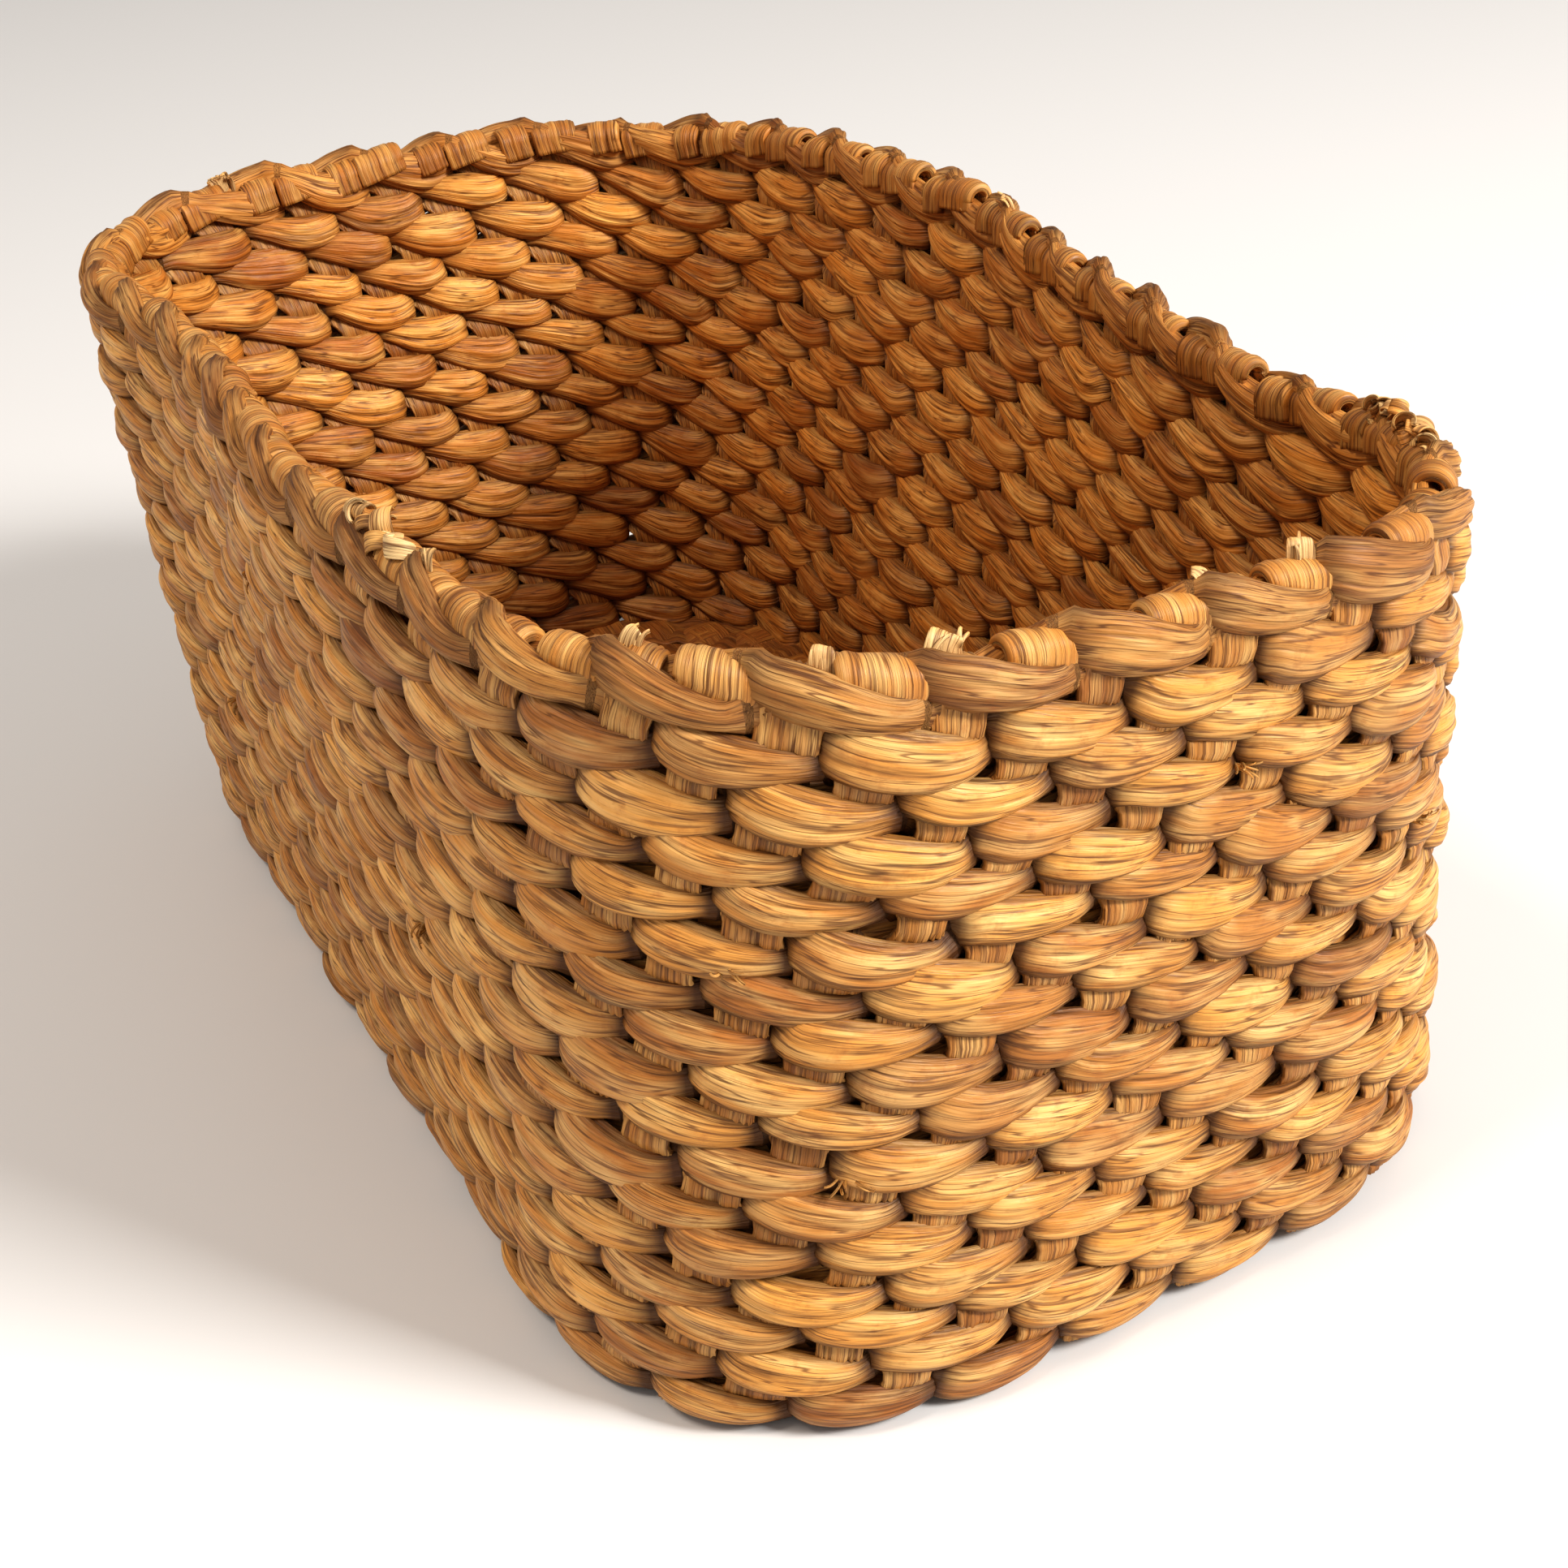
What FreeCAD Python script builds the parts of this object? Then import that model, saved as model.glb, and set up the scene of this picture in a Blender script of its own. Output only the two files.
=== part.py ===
"""Rectangular twined fruit basket: flat leaf stakes, two weavers to a course, woven strip base."""
import FreeCAD, Part
import math
import os

V = FreeCAD.Vector

# ---------------------------------------------------------------- driving dimensions, mm
HEIGHT = 150.0          # table to the top of the folded stakes
TOP_HALF_LENGTH = 170.0     # wall line (middle of the wall) at the rim
TOP_HALF_WIDTH = 93.0
TOP_CORNER_RADIUS = 60.0
BASE_HALF_LENGTH = 160.0    # wall line at the table
BASE_HALF_WIDTH = 90.0
BASE_CORNER_RADIUS = 54.0

STAKE_COUNT = 76        # a multiple of four, so that pairs alternate all the way round
STAKE_START = 10.3      # where the first stake stands at the table, round from the +X side's middle
STAKE_WIDTH = 7.0
STAKE_THICKNESS = 1.2
STAKE_LEAN = 0.18       # sideways drift of a stake per millimetre of height
STAKE_SECTION_STEP = 17.0

COURSE_COUNT = 17       # the last one is the border course
FIRST_COURSE_Z = 3.6
BORDER_TOP_Z = 147.2
COURSE_GAP = 0.35
WEAVER_INNER = 1.5      # distance of a weaver's near face from the wall line
WEAVER_OUTER = 5.5      # distance of its far face
CROSSING_HALF = 2.0     # half the run in which the two weavers change sides

FOLD_LEG = 9.0          # how far a folded stake reaches down inside
FOLD_INNER = 7.2        # distance of its inner face from the wall line
FOLD_STEM = 11.0        # height of the stake's upright part that carries the fold

CROSS_STRIPS = 24       # strips across the width of the base
LONG_STRIPS = 14        # strips along its length
CROSS_PITCH = 11.8
LONG_PITCH = 11.4
STRIP_WIDTH = 7.0
STRIP_THICKNESS = 1.3
STRIP_RISE = 1.8        # height of an upper strip above a lower one
STAKE_FOOT_Z = STRIP_THICKNESS + STRIP_RISE

COURSE_PITCH = (BORDER_TOP_Z - FIRST_COURSE_Z + COURSE_GAP) / COURSE_COUNT
WEAVER_HEIGHT = COURSE_PITCH - COURSE_GAP


# ---------------------------------------------------------------- the wall line
def outline_size(z):
    """Half length, half width and corner radius of the wall line at height z."""
    share = z / HEIGHT
    half_length = BASE_HALF_LENGTH + share * (TOP_HALF_LENGTH - BASE_HALF_LENGTH)
    half_width = BASE_HALF_WIDTH + share * (TOP_HALF_WIDTH - BASE_HALF_WIDTH)
    radius = BASE_CORNER_RADIUS + share * (TOP_CORNER_RADIUS - BASE_CORNER_RADIUS)
    return half_length, half_width, radius


def stretch_lengths(z):
    """Lengths of the nine stretches of the wall line, anticlockwise from the +X side's middle."""
    half_length, half_width, radius = outline_size(z)
    end = half_width - radius
    side = 2 * (half_length - radius)
    arc = radius * math.pi / 2
    return [end, arc, side, arc, 2 * end, arc, side, arc, end]


STRETCHES = stretch_lengths(HEIGHT / 2)
PERIMETER = sum(STRETCHES)
STAKE_PITCH = PERIMETER / STAKE_COUNT


def wall_frame(u, z):
    """Point, outward normal and tangent of the wall line, u millimetres round at mid height."""
    u = u % PERIMETER
    stretch = 0
    while stretch < len(STRETCHES) - 1 and u > STRETCHES[stretch]:
        u -= STRETCHES[stretch]
        stretch += 1
    share = u / STRETCHES[stretch]
    half_length, half_width, radius = outline_size(z)
    flat_x = half_length - radius
    flat_y = half_width - radius
    knots = [V(flat_x, 0, z), V(flat_x, flat_y, z), V(-flat_x, flat_y, z),
             V(-flat_x, -flat_y, z), V(flat_x, -flat_y, z), V(flat_x, 0, z)]
    start = knots[(stretch + 1) // 2]
    end = knots[stretch // 2 + 1]
    angle = math.radians(90 * (stretch // 2 + share * (stretch % 2)))
    normal = V(math.cos(angle), math.sin(angle), 0)
    tangent = V(-math.sin(angle), math.cos(angle), 0)
    return start + (end - start) * share + normal * radius, normal, tangent


def wall_point(u, z, offset):
    """Point of the wall at a distance outward from the wall line."""
    point, normal, tangent = wall_frame(u, z)
    return point + normal * offset


def stake_place(index, z):
    """Distance round the wall of a stake's middle at height z."""
    return STAKE_START + index * STAKE_PITCH + STAKE_LEAN * z


# ---------------------------------------------------------------- solids
def export(name, solids):
    """Write one node and print what it holds."""
    shape = solids[0] if len(solids) == 1 else Part.makeCompound(solids)
    shape.exportStep("parts/%s.step" % name)
    volume = sum(solid.Volume for solid in solids)
    print("%-24s %3d solids %10.1f mm3 valid %s" % (name, len(solids), volume, shape.isValid()))


def prism(points, height):
    """Upright prism on a flat polygon."""
    return Part.Face(Part.makePolygon(points + points[:1])).extrude(V(0, 0, height))


def run_edges(middle, z, side):
    """Near and far edge points of one stroke over a pair of stakes; side is 1 outside, -1 inside."""
    reach = STAKE_PITCH - CROSSING_HALF
    places = (middle - reach, middle, middle + reach)
    near = [wall_point(u, z, side * WEAVER_INNER) for u in places]
    far = [wall_point(u, z, side * WEAVER_OUTER) for u in places]
    return near, far


def weaver(course, turn):
    """One weaver of a course: over two stakes, then behind two, low where it goes in."""
    bottom = FIRST_COURSE_Z + course * COURSE_PITCH
    line_z = bottom + WEAVER_HEIGHT / 2
    pairs = STAKE_COUNT // 2
    pieces = []
    for pair in range(pairs):
        middle = stake_place(2 * pair + course % 2 + 0.5, line_z)
        side = 1 if (pair + turn) % 2 == 0 else -1
        near, far = run_edges(middle, line_z, side)
        next_near, next_far = run_edges(middle + 2 * STAKE_PITCH, line_z, -side)
        left_edge = far + next_near
        right_edge = near + next_far
        points = left_edge + right_edge[::-1]
        low = bottom if side == 1 else bottom + WEAVER_HEIGHT / 2
        for point in points:
            point.z = low
        pieces.append(prism(points, WEAVER_HEIGHT / 2))
    return pieces[0].multiFuse(pieces[1:]).removeSplitter()


def stake_section(index, z):
    """Corners of a stake's flat section at height z."""
    point, normal, tangent = wall_frame(stake_place(index, z), z)
    across = tangent * (STAKE_WIDTH / 2)
    out = normal * (STAKE_THICKNESS / 2)
    return [point - across - out, point + across - out, point + across + out, point - across + out]


def stake(index):
    """A flat leaf that leans as it climbs and folds over the border's inner weaver."""
    stem_z = HEIGHT - FOLD_STEM
    steps = math.ceil((stem_z - STAKE_FOOT_Z) / STAKE_SECTION_STEP)
    levels = [STAKE_FOOT_Z + (stem_z - STAKE_FOOT_Z) * step / steps for step in range(steps + 1)]
    rings = [stake_section(index, z) for z in levels]
    faces = [Part.Face(Part.makePolygon(ring + ring[:1])) for ring in (rings[0], rings[-1])]
    for lower, upper in zip(rings, rings[1:]):
        for corner in range(4):
            a, b = lower[corner], lower[(corner + 1) % 4]
            c, d = upper[(corner + 1) % 4], upper[corner]
            faces.append(Part.Face(Part.makePolygon([a, b, c, a])))
            faces.append(Part.Face(Part.makePolygon([a, c, d, a])))
    leaf = Part.makeSolid(Part.makeShell(faces))
    point, normal, tangent = wall_frame(stake_place(index, stem_z), stem_z)
    half = STAKE_THICKNESS / 2
    profile = [(half, 0), (half, FOLD_STEM), (-FOLD_INNER, FOLD_STEM),
               (-FOLD_INNER, FOLD_STEM - FOLD_LEG), (STAKE_THICKNESS - FOLD_INNER, FOLD_STEM - FOLD_LEG),
               (STAKE_THICKNESS - FOLD_INNER, FOLD_STEM - STAKE_THICKNESS),
               (-half, FOLD_STEM - STAKE_THICKNESS), (-half, 0)]
    side = point - tangent * (STAKE_WIDTH / 2)
    points = [side + normal * out + V(0, 0, up) for out, up in profile]
    fold = Part.Face(Part.makePolygon(points + points[:1])).extrude(tangent * STAKE_WIDTH)
    return leaf.fuse(fold).removeSplitter()


def strip_end(place, wall, corner_x, corner_y):
    """How far a base strip at this place runs from the middle to the wall line at the table."""
    beyond = abs(place) - corner_x
    if beyond <= 0:
        return wall
    return corner_y + math.sqrt(BASE_CORNER_RADIUS ** 2 - beyond ** 2)


def base_strip(place, end, crossings, first_is_up, along_x):
    """A base strip that passes over and under the strips that it crosses."""
    step = crossings[1] - crossings[0]
    hold = STRIP_WIDTH / 2 + 0.25 * (step - STRIP_WIDTH)
    lower = []
    for number, crossing in enumerate(crossings):
        level = STRIP_RISE if (number % 2 == 0) == first_is_up else 0.0
        start = -end if number == 0 else crossing - hold
        stop = end if number == len(crossings) - 1 else crossing + hold
        lower += [(start, level), (stop, level)]
    upper = [(run, level + STRIP_THICKNESS) for run, level in lower]
    points = []
    for run, level in lower + upper[::-1]:
        edge = place - STRIP_WIDTH / 2
        points.append(V(run, edge, level) if along_x else V(edge, run, level))
    across = V(0, STRIP_WIDTH, 0) if along_x else V(STRIP_WIDTH, 0, 0)
    return Part.Face(Part.makePolygon(points + points[:1])).extrude(across)


def base_strips():
    """The lengthwise and crosswise strips of the base, plain woven."""
    cross_places = [(number - (CROSS_STRIPS - 1) / 2) * CROSS_PITCH for number in range(CROSS_STRIPS)]
    long_places = [(number - (LONG_STRIPS - 1) / 2) * LONG_PITCH for number in range(LONG_STRIPS)]
    corner_x = BASE_HALF_LENGTH - BASE_CORNER_RADIUS
    corner_y = BASE_HALF_WIDTH - BASE_CORNER_RADIUS
    long_solids = []
    for number, place in enumerate(long_places):
        end = strip_end(place, BASE_HALF_LENGTH, corner_y, corner_x)
        long_solids.append(base_strip(place, end, cross_places, number % 2 == 0, True))
    cross_solids = []
    for number, place in enumerate(cross_places):
        end = strip_end(place, BASE_HALF_WIDTH, corner_x, corner_y)
        cross_solids.append(base_strip(place, end, long_places, number % 2 == 1, False))
    return long_solids, cross_solids


def stake_side(index):
    """Name of the wall in which a stake's foot stands."""
    point, normal, tangent = wall_frame(stake_place(index, HEIGHT / 2), HEIGHT / 2)
    if abs(normal.x) > 0.999:
        return "right" if normal.x > 0 else "left"
    if abs(normal.y) > 0.999:
        return "back" if normal.y > 0 else "front"
    return ("back" if normal.y > 0 else "front") + ("_right" if normal.x > 0 else "_left") + "_corner"


# ---------------------------------------------------------------- the basket
os.makedirs("parts", exist_ok=True)

for course in range(COURSE_COUNT):
    is_border = course == COURSE_COUNT - 1
    label = "border" if is_border else "course_%02d" % (course + 1)
    export(label + "_weaver_a", [weaver(course, 0)])
    export(label + "_weaver_b", [weaver(course, 1)])

stakes = {}
for index in range(STAKE_COUNT):
    stakes.setdefault(stake_side(index), []).append(stake(index))
for side in sorted(stakes):
    export("stakes_" + side, stakes[side])

long_solids, cross_solids = base_strips()
export("base_strips_long", long_solids)
export("base_strips_cross", cross_solids)
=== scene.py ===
"""Looks of the twined fruit basket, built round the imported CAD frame. Metres in Blender, mm here."""
import math

import bpy
import numpy as np
from mathutils import Matrix, Vector


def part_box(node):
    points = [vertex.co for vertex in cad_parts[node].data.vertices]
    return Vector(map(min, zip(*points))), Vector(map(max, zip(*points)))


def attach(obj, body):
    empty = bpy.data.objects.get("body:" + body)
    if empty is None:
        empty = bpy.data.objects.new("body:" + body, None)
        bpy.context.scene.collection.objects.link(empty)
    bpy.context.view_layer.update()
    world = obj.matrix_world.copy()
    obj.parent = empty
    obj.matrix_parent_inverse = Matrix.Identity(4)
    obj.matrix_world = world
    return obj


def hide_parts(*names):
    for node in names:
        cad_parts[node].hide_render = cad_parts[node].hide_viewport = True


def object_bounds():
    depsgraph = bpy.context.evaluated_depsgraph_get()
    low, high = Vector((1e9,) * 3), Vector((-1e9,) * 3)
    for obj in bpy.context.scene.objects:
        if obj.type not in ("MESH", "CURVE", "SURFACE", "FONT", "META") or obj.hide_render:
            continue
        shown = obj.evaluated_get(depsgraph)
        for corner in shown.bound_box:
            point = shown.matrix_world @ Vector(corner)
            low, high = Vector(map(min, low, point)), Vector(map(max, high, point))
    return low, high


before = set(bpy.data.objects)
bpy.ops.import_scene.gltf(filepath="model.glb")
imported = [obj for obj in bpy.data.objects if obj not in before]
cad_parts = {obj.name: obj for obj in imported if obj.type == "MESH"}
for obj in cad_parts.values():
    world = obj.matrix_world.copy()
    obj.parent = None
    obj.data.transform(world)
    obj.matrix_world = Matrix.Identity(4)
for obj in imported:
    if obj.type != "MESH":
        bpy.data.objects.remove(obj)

MM = 0.001
CLEARANCE = 0.02        # mm by which the lowest faces stay off the floor, so that the two don't flicker
cad_low, cad_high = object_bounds()
chance = np.random.default_rng(20)

# ---------------------------------------------------------------- sizes of the weave, mm
STAKE_COUNT = 76
STAKE_START = 10.3      # where the first stake stands at the table, round from the +X side's middle
STAKE_LEAN = 0.18       # sideways drift of a stake per millimetre of height
COURSE_COUNT = 17       # the last one is the border
WEAVER_OUTER = 5.2      # outer face of the strands from the wall line
TOP_RADIUS = 60.0
BASE_RADIUS = 54.0

first_low, first_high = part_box("course_01_weaver_a")
border_low, border_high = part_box("border_weaver_a")
HEIGHT = cad_high.z / MM
TOP_SIZE = (cad_high.x / MM - WEAVER_OUTER, cad_high.y / MM - WEAVER_OUTER, TOP_RADIUS)
BASE_SIZE = (first_high.x / MM - WEAVER_OUTER, first_high.y / MM - WEAVER_OUTER, BASE_RADIUS)
FIRST_LINE = (first_low.z + first_high.z) / 2 / MM
BORDER_LINE = (border_low.z + border_high.z) / 2 / MM
COURSE_PITCH = (BORDER_LINE - FIRST_LINE) / (COURSE_COUNT - 1)

# slow waves of a hand-made wall: (waves in one turn, amplitude mm, phase)
PLAN_WAVES_TOP = ((0, 0.3, 0.0), (1, 2.2, 3.1), (2, 3.2, -0.6), (3, 1.3, -1.2), (4, 6.0, 0.9))
PLAN_WAVES_BASE = ((0, 1.2, 0.0), (1, 4.0, 0.0), (2, 2.3, -0.1),
                   (3, 2.0, -2.9), (4, 1.9, -0.55), (5, 0.7, 2.5))
RIM_WAVES = ((1, 2.4, 4.5), (2, 2.2, 4.5), (4, 0.9, 0.8), (7, 0.7, 2.0), (11, 0.5, 0.4))
LEVEL_HEIGHT = 25.0     # the courses lie level below this height and follow the rim's waves above it
TUCK_HEIGHT = 14.0      # the wall curves in below this height
TUCK_DEPTH = 2.5


# ---------------------------------------------------------------- the wall surface
def stretches(size):
    """Lengths of the nine stretches of an outline, anticlockwise from the +X side's middle."""
    half_length, half_width, radius = size
    end = half_width - radius
    side = 2 * (half_length - radius)
    arc = radius * math.pi / 2
    return np.array([end, arc, side, arc, 2 * end, arc, side, arc, end])


STRETCHES = (stretches(TOP_SIZE) + stretches(BASE_SIZE)) / 2
STRETCH_STARTS = np.concatenate([[0.0], np.cumsum(STRETCHES)])
PERIMETER = STRETCH_STARTS[-1]
STAKE_PITCH = PERIMETER / STAKE_COUNT


def waves(u, rows):
    """Sum of slow waves round the wall."""
    turn = 2 * math.pi * u / PERIMETER
    return sum(amplitude * np.cos(count * turn - phase) for count, amplitude, phase in rows)


def smooth(x):
    """Smooth step from 0 to 1."""
    x = np.clip(x, 0.0, 1.0)
    return x * x * (3 - 2 * x)


def wall(u, z, out):
    """Points in metres from distance round the wall, height and distance outward, all in mm."""
    u = np.mod(u, PERIMETER)
    number = np.clip(np.searchsorted(STRETCH_STARTS, u, side="right") - 1, 0, 8)
    share = (u - STRETCH_STARTS[number]) / STRETCHES[number]
    level = np.clip(z / HEIGHT, 0.0, 1.03)
    half_length, half_width, radius = [low + level * (high - low)
                                       for low, high in zip(BASE_SIZE, TOP_SIZE)]
    flat_x = half_length - radius
    flat_y = half_width - radius
    # corners of the flat part, from the +X side's middle and back to it
    side_x = np.array([1, 1, -1, -1, 1, 1])
    side_y = np.array([0, 1, 1, -1, -1, 0])
    start = (number + 1) // 2
    end = number // 2 + 1
    x = flat_x * (side_x[start] + (side_x[end] - side_x[start]) * share)
    y = flat_y * (side_y[start] + (side_y[end] - side_y[start]) * share)
    angle = np.radians(90 * (number // 2 + share * (number % 2)))
    bulge = waves(u, PLAN_WAVES_TOP) * level + waves(u, PLAN_WAVES_BASE) * (1 - level)
    tuck = TUCK_DEPTH * np.clip(1 - z / TUCK_HEIGHT, 0, 1) ** 2
    reach = radius + out + bulge - tuck
    rise = waves(u, RIM_WAVES) * smooth((z - LEVEL_HEIGHT) / (HEIGHT - LEVEL_HEIGHT))
    height = np.maximum(z + rise, CLEARANCE)
    points = np.stack([x + reach * np.cos(angle), y + reach * np.sin(angle), height], axis=-1)
    return points * MM


def stake_place(number, z):
    """Distance round the wall of a stake's middle at height z."""
    return STAKE_START + number * STAKE_PITCH + STAKE_LEAN * z


def ring_angles(spokes):
    """Angles of the points of one ring, as a row."""
    return np.linspace(0, 2 * math.pi, spokes, endpoint=False)[None, :]


def squared(wave, power):
    """A sine or cosine pushed out towards a box shape by a power below 1, keeping its sign."""
    return np.sign(wave) * np.abs(wave) ** power


# ---------------------------------------------------------------- mesh helpers
def grid_faces(rows, columns, first=0, closed_rows=False):
    """Quads of a rows by columns tube of vertices; each row is a closed ring."""
    i = np.arange(rows if closed_rows else rows - 1)
    j = np.arange(columns)
    i, j = np.meshgrid(i, j, indexing="ij")
    next_row = (i + 1) % rows * columns
    row = i * columns
    beside = (j + 1) % columns
    quads = np.stack([row + j, next_row + j, next_row + beside, row + beside], -1)
    return quads.reshape(-1, 4) + first


class Sheets:
    """Collects grids of vertices with their fibre coordinates and tints into one mesh."""

    def __init__(self):
        self.points, self.fibres, self.tints, self.insides = [], [], [], []
        self.faces, self.caps = [], []
        self.count = 0

    def add(self, points, fibre, tint, inside, closed_rows=False, flip=False):
        """Grids of rows by columns: points and fibre by 3, tint by 4, inside by 1; open ends are capped.

        fibre is the place on the flat leaf in mm, with its depth apart from other leaves; tint is
        (dusky, light, painted shade, height of the fold); inside is 1 on the inside of the basket, which
        gets painted bounce light."""
        rows, columns = points.shape[:2]
        quads = grid_faces(rows, columns, self.count, closed_rows)
        self.faces.append(quads[:, ::-1] if flip else quads)
        if not closed_rows:
            first_cap = self.count + np.arange(columns)
            last_cap = self.count + (rows - 1) * columns + np.arange(columns)[::-1]
            self.caps += [first_cap[::-1], last_cap[::-1]] if flip else [first_cap, last_cap]
        self.points.append(points.reshape(-1, 3))
        self.fibres.append(fibre.reshape(-1, 3))
        self.tints.append(tint.reshape(-1, 4))
        self.insides.append(inside.ravel())
        self.count += rows * columns

    def piece(self, name, material, slot_name, nodes):
        """Makes the Blender object, which rides on the basket's body and stands for these CAD nodes."""
        mesh = bpy.data.meshes.new(name)
        points = np.concatenate(self.points)
        quads = np.concatenate(self.faces)
        mesh.vertices.add(len(points))
        mesh.vertices.foreach_set("co", points.astype(np.float32).ravel())
        corners = np.concatenate([quads.ravel()] + self.caps)
        sizes = np.array([4] * len(quads) + [len(cap) for cap in self.caps])
        starts = np.concatenate([[0], np.cumsum(sizes)[:-1]])
        mesh.loops.add(len(corners))
        mesh.loops.foreach_set("vertex_index", corners.astype(np.int32))
        mesh.polygons.add(len(sizes))
        mesh.polygons.foreach_set("loop_start", starts.astype(np.int32))
        mesh.polygons.foreach_set("use_smooth", sizes == 4)
        mesh.update(calc_edges=True)
        fibre = mesh.attributes.new("fibre", "FLOAT_VECTOR", "POINT")
        fibre.data.foreach_set("vector", np.concatenate(self.fibres).astype(np.float32).ravel())
        tint = mesh.attributes.new("tint", "FLOAT_COLOR", "POINT")
        tint.data.foreach_set("color", np.concatenate(self.tints).astype(np.float32).ravel())
        inside = mesh.attributes.new("inside", "FLOAT", "POINT")
        inside.data.foreach_set("value", np.concatenate(self.insides).astype(np.float32))
        mesh.materials.append(material)
        piece = bpy.data.objects.new(name, mesh)
        bpy.context.scene.collection.objects.link(piece)
        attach(piece, "root")
        if nodes:
            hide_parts(*nodes)


# ---------------------------------------------------------------- materials
def feed(tree, socket, value):
    """Sets a socket, or links it when the value is another node's output."""
    if isinstance(value, bpy.types.NodeSocket):
        tree.links.new(value, socket)
    else:
        socket.default_value = value


def node(tree, kind, **inputs):
    """A shader node with its sockets fed by name (_ for a space) or as i0, i1 by number."""
    made = tree.nodes.new(kind)
    for key, value in inputs.items():
        is_number = key[0] == "i" and key[1:].isdigit()
        feed(tree, made.inputs[int(key[1:]) if is_number else key.replace("_", " ")], value)
    return made


def mix_colour(tree, how, factor, a, b):
    """Result of a colour mix node."""
    made = tree.nodes.new("ShaderNodeMix")
    made.data_type = "RGBA"
    made.blend_type = how
    for number, value in ((0, factor), (6, a), (7, b)):
        feed(tree, made.inputs[number], value)
    return made.outputs[2]


def ramp(tree, factor, stops):
    """Result of a colour ramp over (position, grey value) stops."""
    made = tree.nodes.new("ShaderNodeValToRGB")
    tree.links.new(factor, made.inputs[0])
    while len(made.color_ramp.elements) < len(stops):
        made.color_ramp.elements.new(0.5)
    for element, (position, value) in zip(made.color_ramp.elements, stops):
        element.position = position
        element.color = (value, value, value, 1)
    return made.outputs[0]


CREAM = (0.90, 0.69, 0.37, 1)           # the palest leaf ends: cream of their own, with painted light shining through them
RUSSET = (0.42, 0.140, 0.026, 1)        # warm blotches
DUSK = (0.66, 0.60, 0.60, 1)            # grey-brown of a weathered stroke, multiplied in
LINE_BROWN = (0.13, 0.045, 0.010, 1)    # broken dark lines along the fibres
CRACK_BROWN = (0.14, 0.048, 0.010, 1)
# painted shade in the fold creases
CREASE_SHADE_BROWN = (0.11, 0.036, 0.007, 1)
INSIDE_BOUNCE_LIGHT = (1.16, 1.03, 0.80, 1)     # painted warm bounce light that brightens the inside, multiplied in
GAP_SHADE_BROWN = (0.060, 0.018, 0.0035, 1)   # painted shade, with some dirt, in the gaps


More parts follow.
